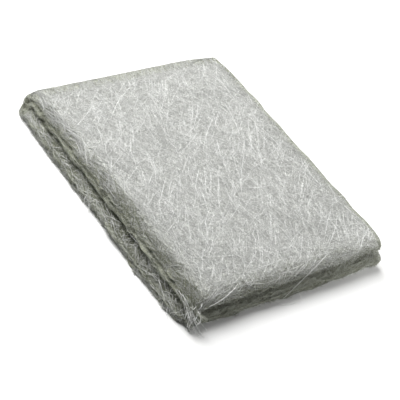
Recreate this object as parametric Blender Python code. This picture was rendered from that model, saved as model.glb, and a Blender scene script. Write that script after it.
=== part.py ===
"""Chopped-strand fibreglass mat, one sheet folded into a flat pad of four plies.

Metres, +Z up. X runs along the pad's short side and Y along its long side. The
finished pad is centred on the origin, on the surface that it lies on.

The sheet is folded in half twice. The first fold is at +X and joins two plies
into a packet. The second is at +Y and lays one packet on the other. The cut
edges are at -X and -Y, where the plies are free to loft and part.
"""
import bpy
import bmesh
import numpy as np

# Outline of the folded pad, measured over its top ply
SHORT_SIDE = 0.196
LONG_SIDE = 0.246

# Plies and the gaps between them, pressed flat at the far fold
PLY = 0.0051
PLY_GAP = 0.0005
PACKET_GAP = 0.0006

# The same at the two ends of the near edge, where nothing holds the stack together.
# The lower packet swells most by its springy fold, and the packets part at the left.
UPPER_PLY_LEFT = 0.0060
UPPER_PLY_RIGHT = 0.0050
LOWER_PLY_LEFT = 0.0046
LOWER_PLY_RIGHT = 0.0075
NEAR_PLY_GAP = 0.0007
PACKET_GAP_LEFT = 0.0034
PACKET_GAP_RIGHT = 0.0008

# How far the lower packet's cut edges and fold stand out past the top ply
LOWER_OUT_LEFT = 0.0092
LOWER_OUT_NEAR = 0.0028
LOWER_OUT_FOLD = 0.0020

# The second ply stands out past the top ply at the left and lies back at the near
# edge, and the third ply overhangs the bottom one a little at both
SECOND_OUT_LEFT = 0.0026
SECOND_BACK_NEAR = 0.0020
THIRD_OVERHANG = 0.0004

# Rounding of a cut edge, the thickness left at its very rim, and its waviness
EDGE_ROUND = 0.0030
EDGE_RIM = 0.0018
EDGE_WAVE = 0.0008
EDGE_WAVE_LENGTH = 0.1100

# Soft shoulder along the cut edges: how far in it reaches, and the share of a
# packet's thickness that the top has sunk by at the edge, under one half
UPPER_REACH_FAR = 0.0070
UPPER_REACH_NEAR = 0.0190
LOWER_REACH = 0.0120
UPPER_SINK = 0.42
LOWER_SINK = 0.38

# The corner where both folds meet is drawn in, in plan
CORNER_PULL = 0.0030
CORNER_REACH = 0.0150

# Steps along each flat panel, round each fold and round each cut edge
FLAT_STEPS = 12
FOLD_STEPS = 8
EDGE_STEPS = 3

# Bend radii of the middle of the sheet and of the middle of a packet
PLY_BEND = (PLY + PLY_GAP) / 2
PACKET = 2 * PLY + PLY_GAP
PACKET_BEND = (PACKET + PACKET_GAP) / 2
STACK = 2 * PACKET + PACKET_GAP

# Outermost places of the top ply, before the whole pad is centred
RIGHT = SHORT_SIDE / 2
LEFT = -SHORT_SIDE / 2
FAR = LONG_SIDE / 2
NEAR = -LONG_SIDE / 2


def mix(low, high, share):
    """A value that goes from low to high as share goes from 0 to 1."""
    return low + (high - low) * share


def run_of_stations(length):
    """Stations from one cut edge round the fold to the other cut edge.

    Gives, for each station, its distance from the fold as a share of the
    panel, its angle round the fold, and the share of the ply's thickness there.
    Along a panel the stations lie closer towards the fold and the cut edge.
    """
    edge_share = EDGE_ROUND / length
    turn = np.linspace(0, np.pi / 2, EDGE_STEPS + 1)
    rounded = 1 - edge_share * (1 - np.sin(turn[1:]))
    spread = (1 - np.cos(np.linspace(0, np.pi, FLAT_STEPS + 1))) / 2
    flat = (1 - edge_share) * spread
    panel = np.concatenate([flat, rounded])
    rim = EDGE_RIM / PLY
    fullness = np.concatenate([np.ones_like(flat), mix(rim, 1, np.cos(turn[1:]))])
    fold = np.linspace(np.pi / 2, -np.pi / 2, FOLD_STEPS + 1)[1:-1]
    out = np.concatenate([panel[::-1], np.zeros_like(fold), panel])
    angle = np.concatenate([np.full(panel.size, np.pi / 2), fold, np.full(panel.size, -np.pi / 2)])
    full = np.concatenate([fullness[::-1], np.ones_like(fold), fullness])
    return out, angle, full


def wave(along, start):
    """The slight wander of a cut edge: two sines of unlike length."""
    turn = 2 * np.pi * along / EDGE_WAVE_LENGTH + start
    return EDGE_WAVE * (0.6 * np.sin(turn) + 0.4 * np.sin(1.6 * turn))


def fold_sheet(side):
    """One face of the sheet, side +1 the outer and -1 the inner, folded twice.

    A point is carried round the first fold's half circle into a packet, and
    the packet round the second fold's half circle into the stack.
    """
    across, turn_one, full_one = run_of_stations(SHORT_SIDE)
    along, turn_two, full_two = run_of_stations(LONG_SIDE)
    across, turn_one, full_one = (v[:, None] for v in (across, turn_one, full_one))
    along, turn_two, full_two = (v[None, :] for v in (along, turn_two, full_two))
    outer = (1 + np.sin(turn_one)) / 2
    upper = (1 + np.sin(turn_two)) / 2
    half = side * PLY / 2 * np.minimum(full_one, full_two)

    y_guess = mix(FAR, NEAR, along)
    x_guess = mix(RIGHT, LEFT, across)
    near_share = along
    fold_x = RIGHT + LOWER_OUT_FOLD * (1 - upper) * near_share - PLY_BEND - PLY / 2
    left_x = LEFT - LOWER_OUT_LEFT * (1 - upper) - mix(THIRD_OVERHANG, SECOND_OUT_LEFT, upper) * (1 - outer)
    left_x = left_x + wave(y_guess, 1.7 * outer + 2.9 * upper)
    fold_y = FAR - PACKET_BEND - PACKET / 2
    near_y = NEAR - LOWER_OUT_NEAR * (1 - upper) - mix(THIRD_OVERHANG, -SECOND_BACK_NEAR, upper) * (1 - outer)
    near_y = near_y + wave(x_guess, 2.3 * outer + 0.8 * upper)

    x = fold_x + (PLY_BEND + half) * np.cos(turn_one) - across * (fold_x - left_x)
    in_packet = (PLY_BEND + half) * np.sin(turn_one)
    y = fold_y + (PACKET_BEND + in_packet) * np.cos(turn_two) - along * (fold_y - near_y)
    z = STACK / 2 + (PACKET_BEND + in_packet) * np.sin(turn_two)
    return x, y, z


def sunk(x, y, left, near, reach):
    """How far a shoulder has sunk, from 0 inside to 1 at a cut edge.

    A parabola runs up from each of the two edges, and they blend at the corner.
    """
    from_left = np.clip(1 - (x - left) / reach, 0, 1) ** 2
    from_near = np.clip(1 - (y - near) / reach, 0, 1) ** 2
    return 1 - (1 - from_left) * (1 - from_near)


def loft(x, y, z):
    """Swell the stack towards the near edge, one layer at a time.

    Every height is rebuilt as the sum of the layers below it, each scaled from
    its pressed to its lofted thickness, so plies never cross. The bottom stays
    flat. Each packet then sinks to a shoulder along its cut edges, its top the
    most and its bottom not at all.
    """
    near_share = np.clip((FAR - y) / LONG_SIDE, 0, 1)
    right_share = np.clip((x - LEFT) / SHORT_SIDE, 0, 1)
    lower_ply = mix(PLY, mix(LOWER_PLY_LEFT, LOWER_PLY_RIGHT, right_share), near_share)
    upper_ply = mix(PLY, mix(UPPER_PLY_LEFT, UPPER_PLY_RIGHT, right_share), near_share)
    ply_gap = mix(PLY_GAP, NEAR_PLY_GAP, near_share)
    packet_gap = mix(PACKET_GAP, mix(PACKET_GAP_LEFT, PACKET_GAP_RIGHT, right_share), near_share)
    pressed = [PLY, PLY_GAP, PLY, PACKET_GAP, PLY, PLY_GAP, PLY]
    lofted = [lower_ply, ply_gap, lower_ply, packet_gap, upper_ply, ply_gap, upper_ply]
    below = 0.0
    height = np.zeros_like(z)
    for thin, thick in zip(pressed, lofted):
        height = height + np.clip(z - below, 0, thin) * thick / thin
        below = below + thin
    in_lower = np.clip(z / PACKET, 0, 1)
    in_upper = np.clip((z - PACKET - PACKET_GAP) / PACKET, 0, 1)
    lower = sunk(x, y, LEFT - LOWER_OUT_LEFT, NEAR - LOWER_OUT_NEAR, LOWER_REACH)
    upper = sunk(x, y, LEFT, NEAR, mix(UPPER_REACH_FAR, UPPER_REACH_NEAR, near_share))
    height = height - lower * LOWER_SINK * (2 * lower_ply + ply_gap) * in_lower ** 2
    return height - upper * UPPER_SINK * (2 * upper_ply + ply_gap) * in_upper ** 2


def draw_in_corner(x, y):
    """Round, in plan, the corner where the folds meet, by a bell-shaped pull."""
    away = ((x - RIGHT) ** 2 + (y - FAR) ** 2) / (2 * CORNER_REACH ** 2)
    pull = CORNER_PULL * np.exp(-away)
    return x - pull, y - pull


def mat_mesh():
    """Both faces of the folded sheet, closed along its four cut edges."""
    corners = []
    for side in (1, -1):
        x, y, z = fold_sheet(side)
        height = loft(x, y, z)
        x, y = draw_in_corner(x, y)
        corners.append(np.stack([x, y, np.where(height < 1e-6, 0.0, height)], axis=-1))
    rows, columns = corners[0].shape[:2]
    number = np.arange(rows * columns).reshape(rows, columns)
    outer = np.stack([number[:-1, :-1], number[1:, :-1], number[1:, 1:], number[:-1, 1:]], axis=-1)
    outer = outer.reshape(-1, 4)
    inner = outer[:, ::-1] + rows * columns
    border = np.concatenate([number[:-1, 0], number[-1, :-1], number[:0:-1, -1], number[0, :0:-1]])
    following = np.roll(border, -1)
    rim = np.stack([following, border, border + rows * columns, following + rows * columns], axis=-1)
    points = np.concatenate([c.reshape(-1, 3) for c in corners])
    middle = (points.min(axis=0) + points.max(axis=0)) / 2
    points = points - np.array([middle[0], middle[1], 0.0])
    mesh = bpy.data.meshes.new("mat")
    mesh.from_pydata(points.tolist(), [], np.concatenate([outer, inner, rim]).tolist())
    return mesh


def glass_fibre():
    """Dry chopped glass strands: a pale grey with a trace of green, hardly glossy."""
    material = bpy.data.materials.new("glass_fibre")
    material.use_nodes = True
    shader = material.node_tree.nodes["Principled BSDF"]
    shader.inputs["Base Color"].default_value = (0.60, 0.63, 0.59, 1.0)
    shader.inputs["Roughness"].default_value = 0.75
    shader.inputs["Metallic"].default_value = 0.0
    return material


def build():
    for old in list(bpy.data.objects):
        bpy.data.objects.remove(old, do_unlink=True)
    mesh = mat_mesh()
    shape = bmesh.new()
    shape.from_mesh(mesh)
    bmesh.ops.recalc_face_normals(shape, faces=shape.faces)
    shape.to_mesh(mesh)
    shape.free()
    mesh.shade_smooth()
    mat = bpy.data.objects.new("mat", mesh)
    mat.data.materials.append(glass_fibre())
    bpy.context.scene.collection.objects.link(mat)


build()
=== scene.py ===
"""Chopped-strand fibreglass mat, folded into a pad of four plies: its looks.

The sheet is drawn flat first, in metres across (u) and along (v) from its two
fold lines, with a lift off its middle surface. pressed_place() carries such a
point round both folds into the pressed stack, and settle() lofts the stack and
lets its edges sink, so the sheet and the strands on it take the same shape.
u above 0 is the outer ply of a packet and below 0 the inner one. v above 0 is
the upper packet and below 0 the lower one. From the top, the plies are
numbered one to four.
"""

import bpy
import numpy as np
from mathutils import Matrix, Vector


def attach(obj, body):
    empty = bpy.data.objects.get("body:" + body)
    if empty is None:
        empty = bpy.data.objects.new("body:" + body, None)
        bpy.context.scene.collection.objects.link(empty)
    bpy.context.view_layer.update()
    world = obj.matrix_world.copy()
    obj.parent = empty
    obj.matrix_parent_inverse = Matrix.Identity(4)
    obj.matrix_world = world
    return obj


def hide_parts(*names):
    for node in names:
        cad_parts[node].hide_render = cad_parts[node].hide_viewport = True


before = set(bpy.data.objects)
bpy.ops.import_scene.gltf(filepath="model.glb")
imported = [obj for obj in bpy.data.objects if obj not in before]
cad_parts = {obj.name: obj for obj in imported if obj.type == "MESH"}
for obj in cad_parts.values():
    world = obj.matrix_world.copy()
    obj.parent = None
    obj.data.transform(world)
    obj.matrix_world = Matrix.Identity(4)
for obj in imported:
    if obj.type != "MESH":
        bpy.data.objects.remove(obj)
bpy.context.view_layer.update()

# Outline of the folded pad, measured over its top ply
SHORT_SIDE = 0.196
LONG_SIDE = 0.246

# Plies and the gaps between them, at the far fold and at the two ends of the near edge
PLY = 0.0051
PLY_GAP = 0.0005
PACKET_GAP = 0.0006
UPPER_PLY_LEFT = 0.0060
UPPER_PLY_RIGHT = 0.0050
LOWER_PLY_LEFT = 0.0046
LOWER_PLY_RIGHT = 0.0075
NEAR_PLY_GAP = 0.0007
PACKET_GAP_LEFT = 0.0034
PACKET_GAP_RIGHT = 0.0008

# How far the edges of the other plies stand out past the top ply, or lie back
LOWER_OUT_LEFT = 0.0092
LOWER_OUT_NEAR = 0.0028
LOWER_OUT_FOLD = 0.0020
SECOND_OUT_LEFT = 0.0026
SECOND_BACK_NEAR = 0.0020
THIRD_OVERHANG = 0.0004

# A cut edge's rounding, rim and waviness, and the shoulders' reach and sinking
EDGE_ROUND = 0.0030
EDGE_RIM = 0.0018
EDGE_WAVE = 0.0008
EDGE_WAVE_LENGTH = 0.1100
UPPER_REACH_FAR = 0.0070
UPPER_REACH_NEAR = 0.0190
LOWER_REACH = 0.0120
UPPER_SINK = 0.42
LOWER_SINK = 0.38

# The corner where both folds meet is drawn in, in plan, and the lower packet's cut corner is bevelled
CORNER_PULL = 0.0030
CORNER_REACH = 0.0150
BEVEL = 0.0110

# How much less the upper packet sinks where its near edge meets the first fold
CORNER_CRISP = 0.55

# How square the folds are: 1 is a round bend, and less is a flatter one with tighter corners
FIRST_FOLD_SQUARE = 0.50
SECOND_FOLD_SQUARE = 0.38

# The second fold is pinched at mid-height where it meets the left cut edge: share, height, reach
PINCH = 0.72
PINCH_HEIGHT = 0.15
PINCH_REACH = 0.0140

# How much of its rounding the bottom ply's cut edge loses from below, where it rests on the ground
GROUNDED = 0.75

# How far the first fold's line wanders, and how ragged the cut edges are
FOLD_WANDER = 0.00055
RAGGED = 0.00110

# How far the plies part and close again along the cut edges
PARTING = 0.0009
PARTING_REACH = 0.0220

# The packets gape most along this part of the left edge: how wide, where, and how far along
MOUTH = 0.0042
MOUTH_Y = -0.060
MOUTH_REACH = 0.030

# They also gape along the right half of the near edge, this wide and this far in
NEAR_MOUTH = 0.0032
NEAR_MOUTH_REACH = 0.020

# The pad's body stands this far off the ground, on the strands of its underside
UNDER_STRANDS = 0.0005

PLY_BEND = (PLY + PLY_GAP) / 2
PACKET = 2 * PLY + PLY_GAP
PACKET_BEND = (PACKET + PACKET_GAP) / 2
STACK = 2 * PACKET + PACKET_GAP
RIGHT, LEFT = SHORT_SIDE / 2, -SHORT_SIDE / 2
FAR, NEAR = LONG_SIDE / 2, -LONG_SIDE / 2
HALF_TURN_U = np.pi / 2 * PLY_BEND
HALF_TURN_V = np.pi / 2 * PACKET_BEND
REACH_U = HALF_TURN_U + SHORT_SIDE
REACH_V = HALF_TURN_V + LONG_SIDE


def mix(low, high, share):
    """A value that goes from low to high as share goes from 0 to 1."""
    return low + (high - low) * share


def wave(along, start):
    """The slight wander of a cut edge: two sines of unlike length."""
    turn = 2 * np.pi * along / EDGE_WAVE_LENGTH + start
    return EDGE_WAVE * (0.6 * np.sin(turn) + 0.4 * np.sin(1.6 * turn))


def turned(distance, half_turn):
    """The angle round a fold at a distance from its line, and what is left of the distance past it."""
    angle = np.clip(distance / half_turn, -1, 1) * np.pi / 2
    return angle, np.clip(np.abs(distance) - half_turn, 0, None)


def fold_line_x(v):
    """Where the first fold's centre runs: the lower packet's swings out towards the near edge."""
    turn, past = turned(v, HALF_TURN_V)
    lower = (1 - np.sin(turn)) / 2
    swing = LOWER_OUT_FOLD * lower * past / LONG_SIDE + FOLD_WANDER * wander(v, 0)
    return RIGHT + swing - PLY_BEND - PLY / 2


def plane_waves(seed, count, shortest, longest):
    """A smooth random relief: plane waves of random heading, length and phase, added up."""
    rng = np.random.default_rng(seed)
    heading = rng.uniform(0, 2 * np.pi, count)
    number = 2 * np.pi / rng.uniform(shortest, longest, count)
    phase = rng.uniform(0, 2 * np.pi, count)

    def relief(u, v):
        total = np.zeros(np.broadcast(u, v).shape)
        for a, k, p in zip(heading, number, phase):
            total = total + np.sin(k * (u * np.cos(a) + v * np.sin(a)) + p)
        return total / np.sqrt(count)
    return relief


# Lumps of the felted strands, the pad's long swell, its ragged cut, parting plies and first fold
lumps = plane_waves(3, 18, 0.006, 0.022)
swell = plane_waves(5, 8, 0.060, 0.160)
ragged = plane_waves(7, 16, 0.007, 0.030)
parting = plane_waves(9, 10, 0.020, 0.070)
wander = plane_waves(11, 8, 0.016, 0.060)
LUMP_HEIGHT = 0.00006
SWELL_HEIGHT = 0.00030


def edge_u(u, v):
    """How far from the first fold line the sheet is cut, on the side of u, at v."""
    turn, past = turned(v, HALF_TURN_V)
    lower = (1 - np.sin(turn)) / 2
    inner = (1 - np.sin(turned(u, HALF_TURN_U)[0])) / 2
    left = LEFT - LOWER_OUT_LEFT * lower - mix(SECOND_OUT_LEFT, THIRD_OVERHANG, lower) * inner
    left = left + wave(FAR - past, 1.7 * (1 - inner) + 2.9 * (1 - lower))
    return HALF_TURN_U + fold_line_x(v) - left + RAGGED * ragged(v, 0.3 * inner)


def edge_v(u, v):
    """How far from the second fold line the sheet is cut, on the side of v, at u."""
    turn, past = turned(u, HALF_TURN_U)
    inner = (1 - np.sin(turn)) / 2
    lower = (1 - np.sin(turned(v, HALF_TURN_V)[0])) / 2
    near = NEAR - LOWER_OUT_NEAR * lower - mix(-SECOND_BACK_NEAR, THIRD_OVERHANG, lower) * inner
    near = near + wave(RIGHT - past, 2.3 * (1 - inner) + 0.8 * (1 - lower))
    return HALF_TURN_V + FAR - PACKET_BEND - PACKET / 2 - near + RAGGED * ragged(u, 0.5 + 0.3 * lower)


def half_thickness(u, v):
    """Half the ply's thickness: full inside, a quarter ellipse down to the rim at a cut edge."""
    inside = np.minimum(edge_u(u, v) - np.abs(u), edge_v(u, v) - np.abs(v))
    short = np.clip(1 - inside / EDGE_ROUND, 0, 1)
    return mix(EDGE_RIM / 2, PLY / 2, np.sqrt(1 - short ** 2))


def sunk(x, y, left, near, reach):
    """How far a shoulder has sunk, 0 inside to 1 at a cut edge: a parabola from each edge, blended."""
    from_left = np.clip(1 - (x - left) / reach, 0, 1) ** 2
    from_near = np.clip(1 - (y - near) / reach, 0, 1) ** 2
    return 1 - (1 - from_left) * (1 - from_near)


def loft(x, y, z):
    """Swell the stack towards the near edge, layer by layer, so plies never cross.

    Each height is the sum of the layers below it, each scaled from its pressed
    to its lofted thickness. Each packet then sinks to a shoulder at its cut
    edges, its top the most and its bottom not at all.
    """
    near_share = np.clip((FAR - y) / LONG_SIDE, 0, 1)
    right_share = np.clip((x - LEFT) / SHORT_SIDE, 0, 1)
    lower_ply = mix(PLY, mix(LOWER_PLY_LEFT, LOWER_PLY_RIGHT, right_share), near_share)
    upper_ply = mix(PLY, mix(UPPER_PLY_LEFT, UPPER_PLY_RIGHT, right_share), near_share)
    ply_gap = mix(PLY_GAP, NEAR_PLY_GAP, near_share)
    packet_gap = mix(PACKET_GAP, mix(PACKET_GAP_LEFT, PACKET_GAP_RIGHT, right_share), near_share)
    by_edge = sunk(x, y, LEFT, NEAR, PARTING_REACH)
    parted = [PARTING * by_edge * (0.5 + 0.5 * parting(x + shift, y)) for shift in (0, 0.3, 0.6)]
    parted[2] = parted[2] + PARTING * by_edge * (1 - right_share) ** 4
    mouth = MOUTH * by_edge * np.exp(-((y - MOUTH_Y) / MOUTH_REACH) ** 2) * (1 - right_share) ** 4
    by_near = np.clip(1 - (y - NEAR) / NEAR_MOUTH_REACH, 0, 1)
    parted[1] = parted[1] + mouth + NEAR_MOUTH * by_near * np.clip(2.5 * right_share - 0.6, 0, 1)
    pressed = [PLY, PLY_GAP, PLY, PACKET_GAP, PLY, PLY_GAP, PLY]
    lofted = [lower_ply - parted[0], ply_gap + parted[0], lower_ply, packet_gap + parted[1],
              upper_ply - parted[1], ply_gap + parted[2], upper_ply - parted[2]]
    below = 0.0
    height = np.minimum(z, 0)
    for thin, thick in zip(pressed, lofted):
        height = height + np.clip(z - below, 0, thin) * thick / thin
        below = below + thin
    height = height + np.clip(z - below, 0, None)
    in_lower = np.clip(z / PACKET, 0, 1)
    in_upper = np.clip((z - PACKET - PACKET_GAP) / PACKET, 0, 1)
    lower = sunk(x, y, LEFT - LOWER_OUT_LEFT, NEAR - LOWER_OUT_NEAR, LOWER_REACH)
    upper = sunk(x, y, LEFT, NEAR, mix(UPPER_REACH_FAR, UPPER_REACH_NEAR, near_share))
    height = height - lower * LOWER_SINK * (2 * lower_ply + ply_gap) * in_lower ** 2
    crisp = 1 - CORNER_CRISP * np.clip(2.5 * right_share - 1.5, 0, 1)
    height = height - upper * crisp * UPPER_SINK * (2 * upper_ply + ply_gap) * in_upper ** 2
    height = height + SWELL_HEIGHT * swell(x, y) * np.clip(z / STACK, 0, 1)
    return UNDER_STRANDS + height * (1 - UNDER_STRANDS / STACK)


def bend(turn, square):
    """Out and up round a fold, as shares of its radius: a superellipse between circle and square."""
    return np.abs(np.cos(turn)) ** square, np.sign(turn) * np.abs(np.sin(turn)) ** square


def pressed_place(u, v, lift):
    """x, y and z of a point of the flat sheet, carried round both folds into the pressed stack."""
    turn_u, past_u = turned(u, HALF_TURN_U)
    turn_v, past_v = turned(v, HALF_TURN_V)
    out_u, up_u = bend(turn_u, FIRST_FOLD_SQUARE)
    out_v, up_v = bend(turn_v, SECOND_FOLD_SQUARE)
    by_cut = np.exp((np.abs(u) - edge_u(u, v)) / PINCH_REACH)
    out_v = out_v * (1 - PINCH * by_cut * np.exp(-(up_v / PINCH_HEIGHT) ** 2))
    bottom = (1 + np.sin(turn_u)) * (1 - np.sin(turn_v)) / 4
    lift = lift + GROUNDED * bottom * (PLY / 2 - half_thickness(u, v))
    x = fold_line_x(v) + (PLY_BEND + lift) * out_u - past_u
    in_packet = (PLY_BEND + lift) * up_u
    y = FAR - PACKET_BEND - PACKET / 2 + (PACKET_BEND + in_packet) * out_v - past_v
    z = STACK / 2 + (PACKET_BEND + in_packet) * up_v
    return x, y, z


def settle(x, y, z):
    """A point of the pressed stack as it lies: lofted, one corner drawn in and one bevelled.

    The bevel moves a point along the corner's diagonal, so that its distance
    s from the corner becomes the cube root of s cubed plus BEVEL cubed.
    """
    away = ((x - RIGHT) ** 2 + (y - FAR) ** 2) / (2 * CORNER_REACH ** 2)
    pull = CORNER_PULL * np.exp(-away)
    from_corner = np.clip(x - LEFT + LOWER_OUT_LEFT + y - NEAR + LOWER_OUT_NEAR, 0, None)
    bevel = (np.cbrt(from_corner ** 3 + BEVEL ** 3) - from_corner) / 2 * np.clip(2 - z / PACKET, 0, 1)
    return np.stack([x - pull + bevel, y - pull + bevel, loft(x, y, z)], axis=-1)


# The stations of the sheet's grid on one panel, round a cut edge and round a fold
FLAT_CELLS = 62
ROUND_CELLS = 5
FOLD_CELLS = 22


def panel_stations(length):
    """Shares of a panel from fold to cut edge: even cells, then finer ones round the edge."""
    round_share = EDGE_ROUND / length
    even = np.linspace(0, 1 - round_share, FLAT_CELLS + 1)
    turn = np.linspace(0, np.pi / 2, ROUND_CELLS + 1)[1:]
    return np.concatenate([even, 1 - round_share * (1 - np.sin(turn))])


def mat_grid():
    """The flat sheet's grid: u and v of every station, reaching the wavy cut edges."""
    share_u = panel_stations(SHORT_SIDE)
    share_v = panel_stations(LONG_SIDE)
    even = np.linspace(-1, 1, FOLD_CELLS + 1)[1:-1]
    fold = np.sort(np.concatenate([even, [-0.04, -0.012, 0.012, 0.04]]))
    sign_u = np.concatenate([-np.ones(share_u.size), fold, np.ones(share_u.size)])[:, None]
    sign_v = np.concatenate([-np.ones(share_v.size), fold, np.ones(share_v.size)])[None, :]
    out_u = np.concatenate([share_u[::-1], np.zeros(fold.size), share_u])[:, None]
    out_v = np.concatenate([share_v[::-1], np.zeros(fold.size), share_v])[None, :]
    rough_u = sign_u * (HALF_TURN_U + out_u * SHORT_SIDE)
    rough_v = sign_v * (HALF_TURN_V + out_v * LONG_SIDE)
    u = sign_u * (HALF_TURN_U + out_u * (edge_u(rough_u, rough_v) - HALF_TURN_U))
    v = sign_v * (HALF_TURN_V + out_v * (edge_v(rough_u, rough_v) - HALF_TURN_V))
    return u, v


grid_u, grid_v = mat_grid()
grid_half = half_thickness(grid_u, grid_v)
grid_faces = [settle(*pressed_place(grid_u, grid_v, side * grid_half)) for side in (1, -1)]
corners = np.concatenate([face.reshape(-1, 3) for face in grid_faces])
MIDDLE = (corners.min(axis=0) + corners.max(axis=0)) / 2 * np.array([1, 1, 0])

# No strand lies lower than this, which is just clear of the ground
LOWEST = 0.00005


def rest(x, y, z):
    """A point of the pressed stack in the pad's own frame, centred and above the ground."""
    place = settle(x, y, z) - MIDDLE
    place[..., 2] = np.maximum(place[..., 2], LOWEST)
    return place


def lay(u, v, lift):
    """A point of the flat sheet in the pad's own frame."""
    return rest(*pressed_place(u, v, lift))


def make_mesh(name, points, faces, tone, uv=None):
    """A mesh from a point array and arrays of triangles or quads, with a tone for each point."""
    mesh = bpy.data.meshes.new(name)
    mesh.vertices.add(len(points))
    mesh.vertices.foreach_set("co", points.astype(np.float32).ravel())
    sizes = np.concatenate([np.full(len(f), f.shape[1]) for f in faces])
    loops = np.concatenate([f.ravel() for f in faces])
    mesh.loops.add(len(loops))
    mesh.loops.foreach_set("vertex_index", loops.astype(np.int32))
    mesh.polygons.add(len(sizes))
    starts = np.concatenate([[0], np.cumsum(sizes)[:-1]])
    mesh.polygons.foreach_set("loop_start", starts.astype(np.int32))
    mesh.update(calc_edges=True)
    layer = mesh.attributes.new("tone", "FLOAT", "POINT")
    layer.data.foreach_set("value", tone.astype(np.float32).ravel())
    if uv is not None:
        layer = mesh.uv_layers.new(name="sheet")
        layer.data.foreach_set("uv", uv[loops].astype(np.float32).ravel())
    mesh.shade_smooth()
    return mesh


def add_piece(name, mesh, material):
    """An object at the origin with that mesh and material, riding on the pad's one body."""
    mesh.materials.append(material)
    piece = bpy.data.objects.new(name, mesh)
    bpy.context.scene.collection.objects.link(piece)
    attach(piece, "root")
    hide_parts("mat")
    return piece


def linear(hex_colour):
    """An sRGB hex colour as linear red, green, blue and alpha."""
    value = np.array([int(hex_colour[i:i + 2], 16) for i in (1, 3, 5)]) / 255
    value = np.where(value <= 0.04045, value / 12.92, ((value + 0.055) / 1.055) ** 2.4)
    return (*value, 1.0)


def node(tree, kind, settings=None, **links):
    """Adds a node, sets its properties and inputs, and links inputs given as sockets."""
    made = tree.nodes.new(kind)
    for name, value in (settings or {}).items():
        setattr(made, name, value)
    for name, value in links.items():
        socket = made.inputs[int(name[1:])] if name[1:].isdigit() else made.inputs[name.replace("_", " ")]
        if isinstance(value, bpy.types.NodeSocket):
            tree.links.new(value, socket)
        else:
            socket.default_value = value
    return made


def new_material(name):
    """An empty node material with its Principled shader."""
    material = bpy.data.materials.new(name)
    material.use_nodes = True
    return material, material.node_tree, material.node_tree.nodes["Principled BSDF"]


# sRGB colours from dull to bright: the pale felt, the deep felt with painted shade, and strands lit and with
# painted shade; the shaded ones are also greener, as glass seen edge on
PALE_FELT = ("#A9ABA5", "#CDCEC9")
DEEP_FELT_AND_SHADE = ("#6E7062", "#96988B")
LIT_STRAND = ("#A0A19D", "#FAFBF8")
SHADED_EDGE_ON_STRAND = ("#6E715E", "#C0C2B9")

# How much the grain and the painted glints darken and lighten the felt and the strands
FELT_GRAIN_AND_GLINT = (0.62, 1.28)
STRAND_GRAIN_AND_GLINT = (0.82, 1.13)
GRAIN_AND_GLINT_SCALE = 1100.0


def blend(tree, share, low, high):
    """The colour between two, each a socket or a value, at a share from 0 to 1."""
    mixed = node(tree, "ShaderNodeMix", {"data_type": "RGBA"}, _0=share, _6=low, _7=high)
    return mixed.outputs[2]


def grained_and_glinting(tree, colour, darkest, lightest):
    """The colour, darker and lighter from one millimetre to the next: fine grain, and painted glints where
    filaments catch the light.
    """
    where = node(tree, "ShaderNodeTexCoord").outputs["Object"]
    grain_and_glint = node(tree, "ShaderNodeTexNoise", Vector=where, Scale=GRAIN_AND_GLINT_SCALE, Detail=0.0)
    shade = node(tree, "ShaderNodeMapRange", Value=grain_and_glint.outputs[0],
                 From_Min=0.3, From_Max=0.7, To_Min=darkest, To_Max=lightest)
    scaled = node(tree, "ShaderNodeVectorMath", {"operation": "SCALE"}, _0=colour, Scale=shade.outputs[0])
    return scaled.outputs[0]


def felted_glass():
    """Chopped glass strands, felted and lightly bonded: the body under the loose strands.

    Matt, pale grey, with fibre lines about 0.3 mm wide and 3 mm long and darker
    pits where the light sinks between them. Where its tone is high it is darker and greener:
    painted shade at the folds, cut edges and inner plies, and greener glass seen through more thickness.
    The lines are the highest of five layers of stretched noise. Each layer's turn
    comes after its stretch, so it only makes the layers differ.
    """
    material, tree, shader = new_material("felted_chopped_glass")
    where = node(tree, "ShaderNodeUVMap", {"uv_map": "sheet"}).outputs[0]
    lines = None
    for number, degrees in enumerate((8, 44, 79, 113, 151)):
        turn = node(tree, "ShaderNodeMapping", Vector=where, Rotation=(0, 0, np.radians(degrees)),
                    Scale=(300, 3000, 1), Location=(3.1 * number, 7.7 * number, 0))
        fine = node(tree, "ShaderNodeTexNoise", {"noise_dimensions": "2D"},
                    Vector=turn.outputs[0], Scale=1.0, Detail=1.0, Distortion=0.3)
        if lines is None:
            lines = fine.outputs[0]
        else:
            higher = node(tree, "ShaderNodeMath", {"operation": "MAXIMUM"}, _0=lines, _1=fine.outputs[0])
            lines = higher.outputs[0]
    ramp = node(tree, "ShaderNodeMapRange", Value=lines, From_Min=0.50, From_Max=0.78)
    tone = node(tree, "ShaderNodeAttribute", {"attribute_name": "tone"}).outputs["Fac"]
    pale = blend(tree, ramp.outputs[0], *map(linear, PALE_FELT))
    deep_and_shade = blend(tree, ramp.outputs[0], *map(linear, DEEP_FELT_AND_SHADE))
    colour = grained_and_glinting(tree, blend(tree, tone, pale, deep_and_shade), *FELT_GRAIN_AND_GLINT)
    bump = node(tree, "ShaderNodeBump", Strength=0.2, Distance=0.0004, Height=lines)
    tree.links.new(colour, shader.inputs["Base Color"])
    tree.links.new(bump.outputs[0], shader.inputs["Normal"])
    shader.inputs["Roughness"].default_value = 0.8
    shader.inputs["Specular IOR Level"].default_value = 0.0
    return material


def chopped_strand(name, colours):
    """A strand of drawn glass filaments, chopped: hardly glossy, and brighter where its tone is high. The
    tone differs at random and also carries painted shade.
    """
    material, tree, shader = new_material(name)
    tone = node(tree, "ShaderNodeAttribute", {"attribute_name": "tone"}).outputs["Fac"]
    colour = grained_and_glinting(tree, blend(tree, tone, *map(linear, colours)), *STRAND_GRAIN_AND_GLINT)
    tree.links.new(colour, shader.inputs["Base Color"])
    shader.inputs["Roughness"].default_value = 0.5
    shader.inputs["Specular IOR Level"].default_value = 0.1
    return material


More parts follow.
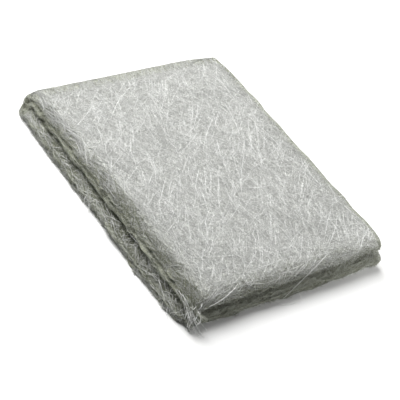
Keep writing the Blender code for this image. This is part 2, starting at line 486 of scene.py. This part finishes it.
def square_to(a, b):
    """Unit vectors square to both."""
    both = np.cross(a, b)
    return both / np.maximum(np.linalg.norm(both, axis=-1, keepdims=True), 1e-12)


# How narrow a strand is at its ends, and how high its ridge is, as shares of its width
END_TAPER = 0.45
RIDGE = 0.15


def strand_shape(line, normal, width, tone):
    """Strands as closed three-sided prisms: their points, walls, end caps and tones.

    line holds each strand's points, normal the way its ridge faces, and width
    its width. A strand is a low ridge carried along its line, narrower at the
    ends, with a triangle to close each end.
    """
    count, steps = line.shape[:2]
    ahead = np.gradient(line, axis=1)
    ahead = ahead / np.maximum(np.linalg.norm(ahead, axis=-1, keepdims=True), 1e-12)
    sideways = square_to(ahead, normal)
    ridge = square_to(sideways, ahead)
    taper = 1 - END_TAPER * np.abs(np.linspace(-1, 1, steps)) ** 6
    wide = (width[:, None] * taper[None, :])[..., None]
    half = sideways * wide / 2
    rim = np.stack([line - half, line + half, line + ridge * wide * RIDGE], axis=2)
    rim[..., 2] = np.maximum(rim[..., 2], 0)
    number = np.arange(count * steps * 3).reshape(count, steps, 3)
    first, second = number[:, :-1], number[:, 1:]
    walls = np.stack([first, np.roll(first, -1, axis=2), np.roll(second, -1, axis=2), second], axis=-1)
    caps = np.concatenate([number[:, 0, ::-1], number[:, -1]])
    tones = np.broadcast_to(tone[:, None, None], (count, steps, 3))
    return rim.reshape(-1, 3), walls.reshape(-1, 4), caps, tones.ravel()


def strand_piece(name, groups, material):
    """One piece of several groups of strands, joined."""
    points, walls, caps, tones, start = [], [], [], [], 0
    for group in groups:
        some_points, some_walls, some_caps, some_tones = strand_shape(*group)
        points.append(some_points)
        walls.append(some_walls + start)
        caps.append(some_caps + start)
        tones.append(some_tones)
        start += len(some_points)
    mesh = make_mesh(name, np.concatenate(points), walls + caps, np.concatenate(tones))
    return add_piece(name, mesh, material)


def stretch_to_fit(centre, heading, half, low, high):
    """Half lengths back and forth that keep a strand between low and high."""
    heading = np.where(np.abs(heading) < 1e-6, 1e-6, heading)
    to_low = (low - centre) / heading
    to_high = (high - centre) / heading
    forth = np.where(heading > 0, to_high, to_low)
    back = -np.where(heading > 0, to_low, to_high)
    return np.minimum(half, np.clip(back, 0, None)), np.minimum(half, np.clip(forth, 0, None))


# The shortest strand kept, how much its lift wanders, and how far off the sheet its ridge is aimed
SHORTEST_STRAND = 0.006
LIFT_WANDER = 0.00003
CLEAR = 0.001

# Painted shade: strands lose this share of their tone at the second fold, within this reach, and on the
# shoulder at the near left, within this reach
FOLD_SHADE = 0.3
FOLD_SHADE_REACH = 0.013
SHOULDER_SHADE_REACH = 0.010


def lying_strands(rng, count, range_u, range_v, side, length, width, steps=4, lift=(-0.0001, 0.0002),
                  fray=0.0012, heading=(0, np.pi), bow=1.8, tone=(2.2, 1.6)):
    """Strands that lie on one face of the sheet, at random places and headings.

    Each is a shallow arc in the flat sheet. It is cut short where it would
    leave its range or stand past the sheet's cut edge by more than its fray.
    """
    u = rng.uniform(*range_u, count)
    v = rng.uniform(*range_v, count)
    turn = rng.uniform(*heading, count)
    half = rng.uniform(*length, count) / 2
    frays = rng.uniform(-0.001, fray, count)
    cut_u, cut_v = edge_u(u, v) + frays, edge_v(u, v) + frays
    low_u, high_u = np.maximum(range_u[0], -cut_u), np.minimum(range_u[1], cut_u)
    low_v, high_v = np.maximum(range_v[0], -cut_v), np.minimum(range_v[1], cut_v)
    back_u, forth_u = stretch_to_fit(u, np.cos(turn), half, low_u, high_u)
    back_v, forth_v = stretch_to_fit(v, np.sin(turn), half, low_v, high_v)
    back, forth = np.minimum(back_u, back_v), np.minimum(forth_u, forth_v)
    keep = (back + forth > SHORTEST_STRAND) & (low_u < u) & (u < high_u) & (low_v < v) & (v < high_v)
    u, v, turn, back, forth = (a[keep] for a in (u, v, turn, back, forth))
    count = u.size
    run = -back[:, None] + (back + forth)[:, None] * np.linspace(0, 1, steps)[None, :]
    bowed = rng.normal(0, bow, count)[:, None] * run ** 2
    line_u = u[:, None] + run * np.cos(turn)[:, None] - bowed * np.sin(turn)[:, None]
    line_v = v[:, None] + run * np.sin(turn)[:, None] + bowed * np.cos(turn)[:, None]
    off = rng.uniform(*lift, count)[:, None] + rng.normal(0, LIFT_WANDER, (count, steps))
    off = off + half_thickness(line_u, line_v) + LUMP_HEIGHT * lumps(line_u, line_v)
    line = lay(line_u, line_v, side * off)
    normal = lay(line_u, line_v, side * (off + CLEAR)) - line
    # Painted shade: the tone is darkened at the second fold and on the shoulder at the near left
    painted_shade = 1 - FOLD_SHADE * np.exp(-(v / FOLD_SHADE_REACH) ** 2)
    shoulder = np.exp((u - edge_u(u, v)) / SHOULDER_SHADE_REACH)
    painted_shade = painted_shade * (1 - shoulder * np.sqrt(np.clip(v / REACH_V, 0, 1)))
    return line, normal, rng.uniform(*width, count), rng.beta(*tone, count) * painted_shade


# On a rim, how much a strand drifts across it, in half plies, and how far out it lies at most
RIM_DRIFT = 1.1
RIM_PROUD = 0.0005


def rim_strands(rng, count, sign_u, sign_v, along_u, length, width, steps=4, tone=(2.0, 2.0)):
    """Strands that run along one ply's cut edge, on its rounded rim.

    Each keeps near one height of the rim and drifts a little across it. The
    rim's quarter ellipse gives how far inside the cut edge it lies there.
    """
    reach = REACH_U if along_u else REACH_V
    middle = rng.uniform(0.004, reach - 0.002, count)
    half = rng.uniform(*length, count) / 2
    run = np.linspace(-1, 1, steps)[None, :]
    along = np.clip(middle[:, None] + half[:, None] * run, 0.002, reach)
    height = rng.uniform(-0.9, 0.9, count)[:, None] + rng.normal(0, RIM_DRIFT, count)[:, None] * run
    height = np.clip(height, -0.98, 0.98) * PLY / 2
    full = np.clip((np.abs(height) - EDGE_RIM / 2) / (PLY / 2 - EDGE_RIM / 2), 0, 1)
    inside = EDGE_ROUND * (1 - np.sqrt(1 - full ** 2))
    proud = rng.uniform(0.0, RIM_PROUD, (count, 1))
    if along_u:
        u = sign_u * along
        edge = edge_v(u, sign_v * REACH_V)
        line = lay(u, sign_v * (edge - inside + proud), height)
        normal = lay(u, sign_v * (edge - inside + proud + CLEAR), height * 1.3) - line
    else:
        v = sign_v * along
        edge = edge_u(sign_u * REACH_U, v)
        line = lay(sign_u * (edge - inside + proud), v, height)
        normal = lay(sign_u * (edge - inside + proud + CLEAR), v, height * 1.3) - line
    return line, normal, rng.uniform(*width, count), rng.beta(*tone, count)


# A hair of the fringe: how much it leans along the edge and up or down, how deep in the ply it
# starts, and how far past the ply's faces it may come out
HAIR_LEAN = 0.005
HAIR_TILT = 0.0016
HAIR_ROOT = (0.0015, 0.0040)
HAIR_CLEAR = 0.0006


def fringe_strands(rng, count, sign_u, sign_v, along_u, out, width, steps=4, tone=(2.0, 2.0)):
    """Short hairs that stand out of one ply's cut edge, and blur it.

    Each starts inside the ply at some height of its rim, leans along the edge
    and up or down as it comes out, and keeps straight.
    """
    reach = REACH_U if along_u else REACH_V
    start = rng.uniform(-0.004, reach - 0.001, (count, 1))
    t = np.linspace(0, 1, steps)[None, :]
    along = np.clip(start + rng.normal(0, HAIR_LEAN, (count, 1)) * t, -0.006, reach)
    height = rng.uniform(-0.8, 0.8, (count, 1)) * PLY / 2 + rng.normal(0, HAIR_TILT, (count, 1)) * t
    height = np.clip(height, -PLY / 2 - HAIR_CLEAR, PLY / 2 + HAIR_CLEAR)
    past = mix(-rng.uniform(*HAIR_ROOT, (count, 1)), rng.uniform(*out, (count, 1)), t)
    if along_u:
        u = sign_u * along
        cut = sign_v * edge_v(u, sign_v * REACH_V)
        line = lay(u, cut + sign_v * past, height)
        normal = lay(u, cut + sign_v * (past + CLEAR), height) - line
    else:
        v = sign_v * along
        cut = sign_u * edge_u(sign_u * REACH_U, v)
        line = lay(cut + sign_u * past, v, height)
        normal = lay(cut + sign_u * (past + CLEAR), v, height) - line
    return line, normal + np.array([0, 0, 0.0008]), rng.uniform(*width, count), rng.beta(*tone, count)


# How far a draped strand bows along the edge
DRAPE_BOW = 0.003


def draped_strands(rng, count, packet_top, edge, drop, inside, out, width, at_left,
                   steps=8, drift=0.010, tone=(2.0, 2.0)):
    """Strands that lie on a packet, reach its cut edge and hang down over it.

    t runs along a strand. It goes out evenly, a little past the edge, and down
    as t cubed, while it drifts and bows along the edge.
    """
    t = np.linspace(0, 1, steps)[None, :]
    span = (NEAR, FAR - 0.012) if at_left else (LEFT, RIGHT - 0.004)
    start = rng.uniform(*span, count)[:, None]
    inward = rng.uniform(*inside, count)[:, None]
    outward = rng.uniform(*out, count)[:, None]
    down = rng.uniform(*drop, count)[:, None]
    across = edge + inward * (1 - t) ** 1.3 - outward * t ** 2
    z = packet_top + rng.uniform(0.0001, 0.0006, count)[:, None] - down * t ** 3
    drifted = rng.normal(0, drift, count)[:, None] * t
    bowed = rng.normal(0, DRAPE_BOW, count)[:, None] * t * (1 - t)
    slide = start + drifted + bowed
    slide = np.clip(slide, span[0] + 0.001, span[1])
    x, y = (across, slide) if at_left else (slide, across)
    line = rest(x, y, z)
    outer = 0.3 + 0.7 * t + np.zeros_like(x)
    side = (-outer, np.zeros_like(x)) if at_left else (np.zeros_like(x), -outer)
    normal = np.stack([*side, 1 - 0.6 * t + np.zeros_like(x)], axis=-1)
    return line, normal, rng.uniform(*width, count), rng.beta(*tone, count)


def bezier_strands(rng, ends, width, steps=12, tone=(5.0, 1.5)):
    """Loose strands as quadratic Bezier arcs through start, pull and end, before the pad is centred."""
    start, pull, end = (np.array([e[i] for e in ends])[:, None, :] for i in range(3))
    t = np.linspace(0, 1, steps)[None, :, None]
    line = start * (1 - t) ** 2 + pull * 2 * t * (1 - t) + end * t ** 2 - MIDDLE
    line[..., 2] = np.maximum(line[..., 2], LOWEST)
    normal = np.zeros_like(line) + np.array([-0.4, -0.3, 1.0])
    count = len(ends)
    return line, normal, rng.uniform(*width, count), rng.beta(*tone, count)


# Loose strands on the top face: x and y of both ends, and the bow between, in mm
LOOSE_ON_TOP = (
    (36, -53, 45, -86, 1.0), (84, -81, 67, -111, -1.5), (28, 105, -3, 68, 2.0), (39, 47, 6, 16, -1.5),
    (55, 4, 45, -18, 0.5), (-78, -23, -58, -11, 1.0), (-56, 36, -64, 14, 0.8), (-12, -75, -14, -94, 0.8),
    (-77, -87, -85, -106, 1.5), (-30, 60, -52, 88, 2.0), (12, -30, 40, -36, -1.5), (-40, -60, -66, -88, 2.2),
    (62, 60, 50, 22, 1.5), (-70, 96, -40, 84, 1.0), (0, 96, 10, 62, -1.2), (70, -30, 86, -60, 1.6),
)


def loose_on_top(rng):
    """Long bright strands that lie on top of the rest, each a shallow arc on the top face."""
    ends = np.array(LOOSE_ON_TOP) / 1000
    t = np.linspace(0, 1, 10)[None, :]
    step = ends[:, 2:4] - ends[:, 0:2]
    bow = ends[:, 4:5] * 4 * t * (1 - t)
    away = np.stack([-step[:, 1], step[:, 0]], axis=-1) / np.linalg.norm(step, axis=-1, keepdims=True)
    x = ends[:, 0:1] + step[:, 0:1] * t + away[:, 0:1] * bow
    y = ends[:, 1:2] + step[:, 1:2] * t + away[:, 1:2] * bow
    line = rest(x, y, np.full_like(x, STACK + 0.0005))
    normal = np.zeros_like(line) + np.array([0, 0, 1.0])
    count = len(ends)
    return line, normal, rng.uniform(0.0003, 0.0005, count), rng.uniform(0.7, 1.0, count)


# The bunch at the cut corner: the spans of x, y and z that its strands start and end in, and how
# far each arc is pulled off its chord, with a scatter
FAN_START = ((-0.104, -0.088), (-0.121, -0.098), (0.017, 0.021))
FAN_END = ((-0.106, -0.092), (-0.130, -0.120), (0.0030, 0.0130))
FAN_PULL = (-0.002, -0.003, 0.003)
FAN_SCATTER = 0.0022


def corner_fan(rng, count=44):
    """The bunch of strands that slides off the upper packet's cut corner towards the ground."""
    start = np.stack([rng.uniform(*span, count) for span in FAN_START], axis=-1)
    end = np.stack([rng.uniform(*span, count) for span in FAN_END], axis=-1)
    pull = (start + end) / 2 + np.array(FAN_PULL)
    pull = pull + rng.normal(0, FAN_SCATTER, (count, 3))
    return bezier_strands(rng, list(zip(start, pull, end)), (0.00028, 0.00055), tone=(4.0, 1.4))


# Single loose strands over the cut edges, in mm: start, the point that pulls the arc, and end
LOOSE_OVER_EDGES = (
    ((43, -114, 25.5), (20, -124, 26), (-14, -130, 1)),
    ((-13, -130, 2), (-8, -134, 0.3), (3, -134, 0.3)),
    ((5, -129, 8), (9, -134, 4), (4, -135, 0.4)),
    ((-87, -124, 19), (-74, -126, 24), (-56, -117, 26)),
    ((-92, -74, 21), (-104, -86, 17), (-102, -92, 9)),
    ((-95, 92, 15), (-92, 96, 22), (-84, 101, 22)),
    ((-99, -124, 6), (-97, -131, 2), (-97, -137, 0.3)),
    ((-97, -124, 7), (-95, -132, 2), (-93, -137, 0.3)),
    ((-94, -124, 8), (-90, -130, 4), (-87, -133, 0.5)),
    ((-101, -126, 6), (-99, -130, 3), (-97, -134, 0.4)),
    ((-103, -124, 6), (-102, -128, 3), (-101, -130, 0.4)),
    ((-107, 15, 6), (-111, 13, 5), (-112, 6, 3)),
    ((-107, 10, 5), (-110, 4, 4), (-111, 2, 1)),
    ((-107, -98, 5), (-111, -101, 4), (-113, -107, 1)),
    ((-107, -104, 5), (-111, -108, 3), (-112, -114, 1)),
    ((-99, -60, 16), (-103, -40, 14), (-99, -28, 13)),
)


# How deep the felt's tone is, from 0 pale to 1, as painted shade that is also greener: at the folds and its
# reach across each, on the inner plies, along the lower packet's left edge, and how much of it is lost at a
# near edge's right end
SHADE_AT_FOLD = 0.9
SHADE_REACH_U = 0.008125
SHADE_REACH_V = 0.0182
DEEP_AND_SHADE_INSIDE = 0.7
SHADE_LOWER_LEFT = 0.65
LESS_SHADE_AT_RIGHT = 0.6


def fold_body(material):
    """The felted sheet itself: its outer and inner face on one grid, joined round the cut edge."""
    off = grid_half + LUMP_HEIGHT * lumps(grid_u, grid_v)
    faces = [lay(grid_u, grid_v, side * off) for side in (1, -1)]
    rows, columns = grid_u.shape
    number = np.arange(rows * columns).reshape(rows, columns)
    outer = np.stack([number[:-1, :-1], number[1:, :-1], number[1:, 1:], number[:-1, 1:]], axis=-1)
    outer = outer.reshape(-1, 4)
    inner = outer[:, ::-1] + rows * columns
    border = np.concatenate([number[:-1, 0], number[-1, :-1], number[:0:-1, -1], number[0, :0:-1]])
    following = np.roll(border, -1)
    rim = np.stack([following, border, border + rows * columns, following + rows * columns], axis=-1)
    points = np.concatenate([f.reshape(-1, 3) for f in faces])
    flat = np.stack([grid_u.ravel(), grid_v.ravel()], axis=-1)
    # The tone is painted shade, darker and greener at the cut edges (reaching further in at the near left),
    # at the folds and on the inner plies
    inside = np.minimum(edge_u(grid_u, grid_v) - np.abs(grid_u), edge_v(grid_u, grid_v) - np.abs(grid_v))
    near_share = np.clip(grid_v / REACH_V, 0, 1)
    at_rim = np.exp(-inside / mix(EDGE_ROUND, SHOULDER_SHADE_REACH, near_share))
    at_left = edge_u(grid_u, grid_v) - np.abs(grid_u) < edge_v(grid_u, grid_v) - np.abs(grid_v)
    right_share = np.clip(1 - (np.abs(grid_u) - HALF_TURN_U) / SHORT_SIDE, 0, 1)
    left_shade = np.where(grid_v < 0, SHADE_LOWER_LEFT, 1.0)
    deep_and_shade = np.where(at_left, left_shade, 1 - LESS_SHADE_AT_RIGHT * right_share) * at_rim
    at_fold = np.exp(-(grid_v / SHADE_REACH_V) ** 2) + np.exp(-(grid_u / SHADE_REACH_U) ** 2)
    deep_and_shade = np.maximum(deep_and_shade, np.minimum(SHADE_AT_FOLD * at_fold, 1))
    deep_and_shade = np.maximum((grid_u < 0) * DEEP_AND_SHADE_INSIDE, deep_and_shade).ravel()
    mesh = make_mesh("mat_body", points, [outer, inner, rim],
                     tone=np.concatenate([deep_and_shade, np.ones_like(deep_and_shade)]), uv=np.concatenate([flat, flat]))
    return add_piece("mat_body", mesh, material)


# Widths of strands: thin, of any width, fine, and the hairs of the fringe. Then lengths: as
# chopped, as far as one is followed along a rim, and three near the edges, each longer at most.
# Then how high the raised ones lie, and how far those over the lower packet's edges hang down.
THIN = (0.00012, 0.00030)
MIXED = (0.00022, 0.00070)
FINE = (0.00015, 0.00045)
HAIRS = (0.00014, 0.00030)
CHOPPED = (0.018, 0.048)
RIM_RUN = (0.005, 0.014)
EDGE_RUN = (0.010, 0.030)
LOWER_RUN = (0.010, 0.034)
SHOULDER_RUN = (0.012, 0.034)
RAISED = (0.0003, 0.0009)
LOWER_DROP = (0.004, 0.0098)


def flip(span):
    """The same span on the other side of a fold line."""
    return (-span[1], -span[0])


def top_strands(material):
    """The strands of the top face, thin and crossing, in four batches."""
    span_u, span_v = (HALF_TURN_U, REACH_U + 0.003), (HALF_TURN_V, REACH_V + 0.003)
    pieces = []
    for batch in range(4):
        rng = np.random.default_rng(20 + batch)
        groups = [lying_strands(rng, 4900, span_u, span_v, 1, CHOPPED, THIN, tone=(0.7, 1.2)),
                  lying_strands(rng, 260, span_u, span_v, 1, (0.018, 0.046), (0.00020, 0.00036),
                                lift=(0.0002, 0.0004), heading=(0.5, 2.3), tone=(4.0, 1.6))]
        pieces.append(strand_piece(f"top_strands_{batch}", groups, material))
    return pieces


def fold_strands(material):
    """Strands that wrap the two folds, and those of the underside."""
    rng = np.random.default_rng(40)
    # The fold strands' low tones are painted shade, so the folds, which face the light, are no brighter than
    # the top
    far = [lying_strands(rng, 3000, (0.0, REACH_U), (-0.018, 0.018), 1, (0.012, 0.030), FINE, steps=7,
                         tone=(1.2, 4.0))]
    right = [lying_strands(rng, 800, (-0.014, 0.014), (sign * 0.006, sign * REACH_V)[::sign], 1,
                           (0.010, 0.022), FINE, steps=7, tone=(1.0, 5.0)) for sign in (1, -1)]
    under = [lying_strands(rng, 2600, (HALF_TURN_U, REACH_U), (-REACH_V, -HALF_TURN_V), 1, CHOPPED, MIXED)]
    return [strand_piece("far_fold_strands", far, material),
            strand_piece("right_fold_strands", right, material),
            strand_piece("underside_strands", under, material)]


def fringes(material):
    """The short hairs that stand out all along the cut edges of the four plies."""
    rng = np.random.default_rng(50)
    groups = []
    for sign_v in (1, -1):
        for sign_u in (1, -1):
            groups.append(fringe_strands(rng, 620, sign_u, sign_v, False, (0.0002, 0.0024), HAIRS))
            groups.append(fringe_strands(rng, 340, sign_u, sign_v, True, (0.0002, 0.0020), HAIRS))
    # The hairs take the shaded strand material: painted shade, and greener as glass seen edge on
    return [strand_piece("fringe_strands", groups, material)]


def edge_strands(strand, shaded):
    """Strands on the shoulders, ledges and rims of the cut edges, and those that drape over them."""
    rng = np.random.default_rng(60)
    strip_u, strip_v = (REACH_U - 0.014, REACH_U + 0.012), (REACH_V - 0.016, REACH_V + 0.006)
    all_u, all_v = (HALF_TURN_U, REACH_U + 0.012), (HALF_TURN_V, REACH_V + 0.006)
    ledge_left = LEFT - LOWER_OUT_LEFT - THIRD_OVERHANG
    ledge_near = NEAR - LOWER_OUT_NEAR - THIRD_OVERHANG
    shoulder = [
        lying_strands(rng, 320, strip_u, (HALF_TURN_V, 0.13), 1, SHOULDER_RUN, MIXED, steps=5,
                      heading=(1.2, 1.95), lift=RAISED, bow=5, tone=(1.6, 2.2)),
        lying_strands(rng, 500, all_u, strip_v, 1, SHOULDER_RUN, FINE, steps=5, heading=(-0.5, 0.5),
                      lift=(0.0002, 0.0008), bow=6, tone=(1.2, 3.0)),
        lying_strands(rng, 500, strip_u, all_v, 1, (0.007, 0.018), THIN, steps=5, lift=(0.0003, 0.0012),
                      bow=14, tone=(1.6, 1.6)),
    ]
    upper = [
        lying_strands(rng, 900, flip(strip_u), all_v, -1, EDGE_RUN, MIXED, bow=8, tone=(1.4, 3.0)),
        lying_strands(rng, 500, flip(all_u), strip_v, -1, EDGE_RUN, MIXED, bow=8, tone=(1.4, 3.0)),
        rim_strands(rng, 300, 1, 1, True, RIM_RUN, FINE, tone=(1.2, 3.0)),
        rim_strands(rng, 500, -1, 1, True, RIM_RUN, FINE, tone=(1.6, 2.4)),
        draped_strands(rng, 300, STACK, LEFT, (0.002, 0.009), (0.002, 0.012), (0.0005, 0.0030), FINE, True,
                       drift=0.014, tone=(1.2, 3.0)),
        draped_strands(rng, 110, STACK, NEAR, (0.002, 0.005), (0.002, 0.012), (0.0005, 0.0020), FINE, False),
    ]
    left = [
        rim_strands(rng, 500, 1, 1, False, RIM_RUN, FINE, tone=(2.2, 1.6)),
        rim_strands(rng, 700, -1, 1, False, RIM_RUN, FINE, tone=(1.8, 2.0)),
        *(lying_strands(rng, 300, (REACH_U - depth, REACH_U + 0.012), (0.09, REACH_V + 0.006), 1,
                        EDGE_RUN, FINE, heading=(0.9, 2.25), lift=RAISED, bow=5,
                        tone=(1.4, 2.6)) for depth in (0.005, 0.008, 0.011, 0.015)),
        rim_strands(rng, 800, -1, -1, False, RIM_RUN, FINE, tone=(2.0, 1.6)),
    ]
    ledge = [
        rim_strands(rng, 900, 1, -1, False, RIM_RUN, FINE, tone=(1.0, 5.5)),
        draped_strands(rng, 300, PACKET, ledge_left, LOWER_DROP, (0.001, 0.008), (0.0002, 0.0010),
                       FINE, True, drift=0.018, tone=(1.0, 4.5)),
    ]
    lower = [
        lying_strands(rng, 1500, flip(strip_u), flip(all_v), 1, LOWER_RUN, FINE, bow=4,
                      heading=(0.8, 2.34), tone=(1.0, 5.0)),
        lying_strands(rng, 700, flip(all_u), flip(strip_v), 1, LOWER_RUN, FINE, bow=4, tone=(1.6, 2.4)),
        rim_strands(rng, 500, -1, -1, True, RIM_RUN, FINE, tone=(1.6, 2.4)),
        rim_strands(rng, 600, 1, -1, True, RIM_RUN, FINE, tone=(1.2, 3.0)),
        draped_strands(rng, 420, PACKET, ledge_near, LOWER_DROP, (0.0002, 0.003), (0.0002, 0.0010),
                       FINE, False, drift=0.016),
    ]
    # The shaded material and the low tones here are painted shade on the sides, rims, ledges and the near
    # left shoulder; the shaded material is also greener, as glass seen edge on
    return [strand_piece("shoulder_strands", shoulder, strand),
            strand_piece("upper_edge_strands", upper, shaded),
            strand_piece("left_edge_strands", left, shaded),
            strand_piece("left_ledge_strands", ledge, strand),
            strand_piece("lower_edge_strands", lower, shaded)]


def loose_strands(material):
    """The bunch at the cut corner and the single strands that stand out."""
    rng = np.random.default_rng(80)
    over = [tuple(np.array(p) / 1000 for p in e) for e in LOOSE_OVER_EDGES]
    groups = [loose_on_top(rng), corner_fan(rng), bezier_strands(rng, over, (0.0003, 0.0005))]
    return [strand_piece("loose_strands", groups, material)]


def main():
    strand = chopped_strand("chopped_glass_strand", LIT_STRAND)
    # The second strand material is a darker copy of the first: painted shade, and greener as glass seen edge
    # on
    shaded = chopped_strand("glass_strand_painted_shade", SHADED_EDGE_ON_STRAND)
    body = fold_body(felted_glass())
    strands = top_strands(strand) + fold_strands(strand) + edge_strands(strand, shaded)
    strands = strands + fringes(shaded) + loose_strands(strand)


main()

# Camera: where it stands round the pad, its roll, and the photo's framing
AZIMUTH, ELEVATION, ROLL = -51.71, 39.99, -24.21
DISTANCE = 1.318
LENS = 144.0
SENSOR = 36.0
SHIFT = (0.00225, -0.033)


def add_camera():
    """The camera: back from the pad along its azimuth and elevation, and rolled about that line."""
    azimuth, elevation, roll = np.radians([AZIMUTH, ELEVATION, ROLL])
    outward = np.array([np.sin(azimuth), -np.cos(azimuth), 0.0])
    back = outward * np.cos(elevation) + np.array([0.0, 0.0, np.sin(elevation)])
    level = np.array([np.cos(azimuth), np.sin(azimuth), 0.0])
    upright = np.cross(back, level)
    right = np.cos(roll) * level - np.sin(roll) * upright
    up = np.sin(roll) * level + np.cos(roll) * upright
    data = bpy.data.cameras.new("camera")
    data.lens = LENS
    data.sensor_width = SENSOR
    data.shift_x, data.shift_y = SHIFT
    camera = bpy.data.objects.new("camera", data)
    bpy.context.scene.collection.objects.link(camera)
    turn = Matrix(np.stack([right, up, back], axis=1).tolist()).to_4x4()
    camera.matrix_world = Matrix.Translation(Vector(back * DISTANCE - MIDDLE)) @ turn
    bpy.context.scene.camera = camera


# Each light's place, size and power, the floor's half width and the world's strength
KEY = ((-0.08, 0.42, 0.62), (0.6, 0.7), 13.2)
FILL = ((0.32, -0.27, 0.06), (0.12, 0.12), 1.05)
FLOOR_REACH = 6.0
WORLD_STRENGTH = 0.12


def add_light(name, place, size, power):
    """A rectangular area light at that place, turned towards the pad."""
    data = bpy.data.lights.new(name, "AREA")
    data.shape = "RECTANGLE"
    data.size, data.size_y = size
    data.energy = power
    light = bpy.data.objects.new(name, data)
    bpy.context.scene.collection.objects.link(light)
    light.location = place
    light.rotation_euler = (-Vector(place)).to_track_quat("-Z", "Y").to_euler()


def add_studio():
    """A pale floor, a broad soft light from above and behind, and a faint fill."""
    floor_mesh = bpy.data.meshes.new("floor")
    square = [(x * FLOOR_REACH, y * FLOOR_REACH, 0) for x, y in ((-1, -1), (1, -1), (1, 1), (-1, 1))]
    floor_mesh.from_pydata(square, [], [(0, 1, 2, 3)])
    material, _, shader = new_material("pale_floor")
    shader.inputs["Base Color"].default_value = linear("#F6F6F5")
    shader.inputs["Roughness"].default_value = 0.9
    floor_mesh.materials.append(material)
    floor = bpy.data.objects.new("floor", floor_mesh)
    bpy.context.scene.collection.objects.link(floor)
    add_light("key", *KEY)
    add_light("fill", *FILL)
    world = bpy.data.worlds.new("studio")
    world.use_nodes = True
    world.node_tree.nodes["Background"].inputs[0].default_value = (1, 1, 1, 1)
    world.node_tree.nodes["Background"].inputs[1].default_value = WORLD_STRENGTH
    bpy.context.scene.world = world
    bpy.context.scene.view_settings.view_transform = "Standard"


add_camera()
add_studio()
bpy.context.view_layer.update()
